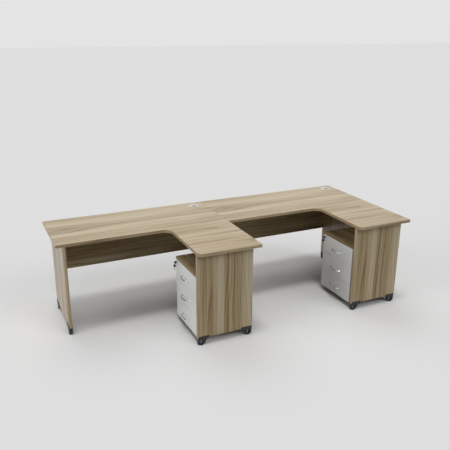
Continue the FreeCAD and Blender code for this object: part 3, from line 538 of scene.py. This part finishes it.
chrome = chrome_plate("chrome_plated_zinc", "#C4C7CA", "#D6D8DA")
bow, given, bow_inputs = new_tree("bow_handle", {
    "Spacing": FLOAT, "Rise": FLOAT, "Bar Radius": FLOAT, "Foot Radius": FLOAT, "Flare": FLOAT,
    "Place": VECTOR})
line = add_node(bow, "GeometryNodeCurvePrimitiveLine")
path = add_node(bow, "GeometryNodeResampleCurve", {"Curve": line, "Count": BOW_STEPS})
share = add_node(bow, "GeometryNodeSplineParameter").outputs["Factor"]
angle = add_node(bow, "ShaderNodeMath", {0: share, 1: math.pi}, operation="MULTIPLY")
swing = add_node(bow, "ShaderNodeMath", {0: angle}, operation="COSINE")
along = add_node(bow, "ShaderNodeMath", {0: swing, 1: given["Spacing"]}, operation="MULTIPLY")
half_along = add_node(bow, "ShaderNodeMath", {0: along, 1: 0.5}, operation="MULTIPLY")
sine = add_node(bow, "ShaderNodeMath", {0: angle}, operation="SINE")
height = add_node(bow, "ShaderNodeMath", {0: sine, 1: 0}, operation="MAXIMUM")
arch = add_node(bow, "ShaderNodeMath", {0: height, 1: BOW_FULLNESS}, operation="POWER")
stand = add_node(bow, "ShaderNodeMath", {0: arch, 1: given["Rise"]}, operation="MULTIPLY")
forward = add_node(bow, "ShaderNodeMath", {0: stand, 1: -1}, operation="MULTIPLY")
bent = add_node(bow, "GeometryNodeSetPosition", {
    "Geometry": path, "Position": add_node(bow, "ShaderNodeCombineXYZ", {"X": forward, "Y": half_along})})
thickness = add_node(bow, "ShaderNodeMapRange", {
    "Value": stand, "From Min": 0, "From Max": given["Flare"], "To Min": given["Foot Radius"],
    "To Max": given["Bar Radius"]}, interpolation_type="SMOOTHSTEP")
section = add_node(bow, "GeometryNodeCurvePrimitiveCircle", {"Resolution": 24, "Radius": 1})
swept = add_node(bow, "GeometryNodeCurveToMesh", {
    "Curve": bent, "Profile Curve": section, "Scale": thickness, "Fill Caps": True})
placed = add_node(bow, "GeometryNodeTransform", {"Geometry": swept, "Translation": given["Place"]})
end_tree(bow, placed, chrome)

for side in SIDES:
    for level in LEVELS:
        drawer = f"{side}_{level}_drawer"
        low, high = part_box(f"{drawer}_handle")
        middle = (low + high) / 2
        handle = grow(f"{drawer}_bow_handle", bow, bow_inputs, {
            "Spacing": HANDLE_SPACING, "Rise": high.x - low.x - BAR_RADIUS, "Bar Radius": BAR_RADIUS,
            "Foot Radius": FOOT_RADIUS, "Flare": FOOT_FLARE, "Place": (high.x, middle.y, middle.z)})
        handle.data.shade_smooth()
        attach(handle, drawer)
        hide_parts(f"{drawer}_handle")


# Locks and keys
# A chrome cam lock sits in each upper drawer front, with its key in place. The key has a black moulded grip
# on a nickel-plated blade, and a ring through the grip carries the spare key, which is like it.
KEY_GRIP_START = 5 * MM
RING_RADIUS = 8 * MM
RING_WIRE = 0.55 * MM
NICKEL = ("#B5B1A6", "#C6C2B8")
GRIP_RADIUS = 11.5 * MM
GRIP_THICKNESS = 4 * MM
GRIP_HOLE_RADIUS = 3 * MM
GRIP_HOLE_HEIGHT = 6 * MM
BLADE_LENGTH = 27 * MM
BLADE_HALF = 3.6 * MM
BLADE_THICKNESS = 2.2 * MM
TOOTH = 3 * MM
BITS = 6
ROUNDING = 0.5 * MM
GRIP_STEPS = 36
HOLE_STEPS = 20


def circle_points(radius, height, count):
    """Points round a circle whose middle is at a height."""
    turns = [2 * math.pi * step / count for step in range(count)]
    return [(radius * math.sin(turn), height + radius * math.cos(turn)) for turn in turns]


def blade_outline():
    """A key blade that points down from the middle of its grip, with bits cut to three depths on one side."""
    tip = -GRIP_RADIUS - BLADE_LENGTH
    back = [(BLADE_HALF, 0), (-BLADE_HALF, 0), (-BLADE_HALF, tip + TOOTH)]
    outline = back + [(-BLADE_HALF / 2, tip), (BLADE_HALF / 2, tip)]
    for bit in range(BITS):
        crest = tip + TOOTH * (bit + 0.5)
        cut = TOOTH * (0.35 + 0.25 * (bit % 3))
        outline.append((BLADE_HALF, crest))
        outline.append((BLADE_HALF - cut, crest + TOOTH / 2))
    outline.append((BLADE_HALF, tip + TOOTH * (BITS + 0.5)))
    return outline


def hung_plate(name, loops, thickness, hang):
    """A flat piece cut to closed outlines, in the XZ plane, that hangs at a point by the top of its hole."""
    blank = bpy.data.curves.new(name, "CURVE")
    blank.dimensions = "2D"
    blank.fill_mode = "BOTH"
    blank.bevel_depth = ROUNDING
    blank.extrude = thickness / 2 - ROUNDING
    blank.offset = -ROUNDING
    for loop in loops:
        spline = blank.splines.new("POLY")
        spline.points.add(len(loop) - 1)
        for point, (x, y) in zip(spline.points, loop):
            point.co = (x, y, 0, 1)
        spline.use_cyclic_u = True
    flat = bpy.data.objects.new(f"{name}_blank", blank)
    mesh = bpy.data.meshes.new_from_object(flat)
    bpy.data.objects.remove(flat)
    upright = Matrix.Rotation(math.radians(90), 4, "X")
    down = Matrix.Translation((0, -GRIP_HOLE_HEIGHT - GRIP_HOLE_RADIUS, 0))
    mesh.transform(Matrix.Translation(hang) @ upright @ down)
    piece = bpy.data.objects.new(name, mesh)
    bpy.context.scene.collection.objects.link(piece)
    return piece


nickel = chrome_plate("nickel_plated_brass", *NICKEL)
ring, given, ring_inputs = new_tree("key_ring", {"Ring Radius": FLOAT, "Wire Radius": FLOAT, "Place": VECTOR})
circle = add_node(ring, "GeometryNodeCurvePrimitiveCircle", {
    "Resolution": 48, "Radius": given["Ring Radius"]})
wire = add_node(ring, "GeometryNodeCurvePrimitiveCircle", {
    "Resolution": 10, "Radius": given["Wire Radius"]})
loop = add_node(ring, "GeometryNodeCurveToMesh", {"Curve": circle, "Profile Curve": wire})
hung = add_node(ring, "GeometryNodeTransform", {
    "Geometry": loop, "Translation": given["Place"], "Rotation": (0, math.radians(90), 0)})
end_tree(ring, hung, nickel)

for side in SIDES:
    drawer = f"{side}_upper_drawer"
    dress(f"{side}_lock_barrel", chrome)
    face_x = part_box(f"{drawer}_front")[0].x
    grip_end = face_x - KEY_GRIP_START
    dress(f"{side}_key", plastic_and_metal(f"black_grip_and_nickel_{side}", "X", grip_end, *NICKEL))
    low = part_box(f"{side}_key")[0]
    barrel_low, barrel_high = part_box(f"{side}_lock_barrel")
    axis = (barrel_low + barrel_high) / 2

    # The ring hangs in the grip's hole, a quarter of the way in from its free end
    hole_x = low.x + (grip_end - low.x) / 4
    ring_middle = Vector((hole_x, axis.y, axis.z - GRIP_HOLE_RADIUS + RING_WIRE - RING_RADIUS))
    key_ring = grow(f"{side}_key_ring", ring, ring_inputs, {
        "Ring Radius": RING_RADIUS, "Wire Radius": RING_WIRE, "Place": ring_middle})
    key_ring.data.shade_smooth()
    hang = ring_middle - Vector((0, 0, RING_RADIUS - RING_WIRE))
    blade = hung_plate(f"{side}_spare_key_blade", [blade_outline()], BLADE_THICKNESS, hang)
    blade.data.materials.append(nickel)
    rim = circle_points(GRIP_RADIUS, 0, GRIP_STEPS)
    hole = circle_points(GRIP_HOLE_RADIUS, GRIP_HOLE_HEIGHT, HOLE_STEPS)
    grip = hung_plate(f"{side}_spare_key_grip", [rim, hole], GRIP_THICKNESS, hang)
    grip.data.materials.append(black_abs)
    for piece, slot_name in ((key_ring, "chrome_handle"), (blade, "chrome_handle"), (grip, "key")):
        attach(piece, drawer)


# Castors
# Four twin-wheel castors under each pedestal: a black nylon hood and fork on a steel stem, and grey wheels
# that turn on one axle.
CASTORS = (1, 2, 3, 4)
tread = moulded_plastic("moulded_grey_tread", "#3B3C3E", "#474849", 1.5 * MM, 0.48)
for side in SIDES:
    for number in CASTORS:
        dress(f"{side}_castor_{number}_fork", black_abs)
        dress(f"{side}_castor_{number}_wheel", tread)


# Floor
# A plain pale floor, matt, wide enough to reach the horizon from every side. The camera and the bright metal
# see it pale, while the light that it throws back on the desk is that of a mid grey.
FLOOR_HALF = 60_000 * MM
FLOOR_DROP = 0.2 * MM
FLOOR_THROWN_BACK = "#989898"
FLOOR_SEEN = "#DFDFDF"


def seen_or_mirrored(tree):
    """A node that gives 1 to what the camera or bright metal sees, and 0 to what only lights the desk."""
    ray = add_node(tree, "ShaderNodeLightPath").outputs
    mirrored = add_node(tree, "ShaderNodeMath", {
        0: ray["Is Glossy Ray"], 1: ray["Is Transmission Ray"]}, operation="MAXIMUM")
    return add_node(tree, "ShaderNodeMath", {0: ray["Is Camera Ray"], 1: mirrored}, operation="MAXIMUM")


ground = bpy.data.meshes.new("floor")
corners = [(x * FLOOR_HALF, y * FLOOR_HALF, -FLOOR_DROP) for x, y in ((-1, -1), (1, -1), (1, 1), (-1, 1))]
ground.from_pydata(corners, [], [(0, 1, 2, 3)])
floor = bpy.data.objects.new("floor", ground)
bpy.context.scene.collection.objects.link(floor)
pale_floor, tree = new_finish("pale_floor")
shade = add_node(tree, "ShaderNodeMix", {
    "Factor": seen_or_mirrored(tree), "A": linear(FLOOR_THROWN_BACK), "B": linear(FLOOR_SEEN)},
    data_type="RGBA")
matt = add_node(tree, "ShaderNodeBsdfPrincipled", {
    "Base Color": shade, "Roughness": 0.9, "Specular IOR Level": 0})
add_node(tree, "ShaderNodeOutputMaterial", {"Surface": matt})
ground.materials.append(pale_floor)


# Studio light
# A faint glow from above, a small key lamp and soft lamps overhead, in front, behind and on the left. Instead
# of the glow, the camera and the bright metal see an even pale backdrop. The low lamp is kept out of
# reflections, because it would glare off the worktops when they are seen from the right.
BACKDROP = "#E4E4E4"
ZENITH_GLOW = 0.3

# A lamp's share is how bright it alone makes a white face turned to it. Its width and tilts are in degrees
LAMPS = {
    "key": {"share": 0.25, "spread": 12, "from_front": 6, "from_left": 6},
    "overhead": {"share": 0.08, "spread": 40, "from_front": 0, "from_left": 0},
    "front": {"share": 0.15, "spread": 35, "from_front": 40, "from_left": 15},
    "front_right": {"share": 0.2, "spread": 35, "from_front": 45, "from_left": -40},
    "behind": {"share": 0.2, "spread": 40, "from_front": -35, "from_left": 0},
    "high_left": {"share": 0.08, "spread": 40, "from_front": 0, "from_left": 60},
    "low_left": {"share": 0.4, "spread": 30, "from_front": 0, "from_left": 85},
}
for name, lamp in LAMPS.items():
    data = bpy.data.lights.new(name, "SUN")
    data.energy = math.pi * lamp["share"]
    data.angle = math.radians(lamp["spread"])
    source = bpy.data.objects.new(name, data)
    source.rotation_euler = (math.radians(lamp["from_front"]), math.radians(-lamp["from_left"]), 0)
    source.visible_glossy = name != "low_left"
    bpy.context.scene.collection.objects.link(source)

world = bpy.data.worlds.new("pale_surround")
bpy.context.scene.world = world
world.use_nodes = True
tree = world.node_tree
tree.nodes.clear()
sky = add_node(tree, "ShaderNodeSeparateXYZ", {0: add_node(tree, "ShaderNodeTexCoord")})
glow = add_node(tree, "ShaderNodeMapRange", {"Value": sky.outputs["Z"], "To Min": 0, "To Max": ZENITH_GLOW})
light = add_node(tree, "ShaderNodeBackground", {"Color": (1, 1, 1, 1), "Strength": glow})
backdrop = add_node(tree, "ShaderNodeBackground", {"Color": linear(BACKDROP), "Strength": 1})
both = add_node(tree, "ShaderNodeMixShader", {0: seen_or_mirrored(tree), 1: light, 2: backdrop})
add_node(tree, "ShaderNodeOutputWorld", {"Surface": both})


# Camera
# It stands in front and to the left of the run, a little above head height, and looks down on it.
# The place is in metres, the lens in millimetres and the turns in radians.
CAMERA_PLACE = (-1.949, -4.1173, 2.2894)
CAMERA_LENS = 46.495
CAMERA_DOWN = 0.33165
CAMERA_RIGHT = 0.43646
CAMERA_ROLL = 0.00447
view = bpy.data.cameras.new("camera")
view.lens = CAMERA_LENS
camera = bpy.data.objects.new("camera", view)
aim = Matrix.Rotation(-CAMERA_RIGHT, 4, "Z") @ Matrix.Rotation(math.pi / 2 - CAMERA_DOWN, 4, "X")
camera.matrix_world = Matrix.Translation(CAMERA_PLACE) @ aim @ Matrix.Rotation(CAMERA_ROLL, 4, "Z")
bpy.context.scene.collection.objects.link(camera)
bpy.context.scene.camera = camera
bpy.context.scene.view_settings.view_transform = "Standard"
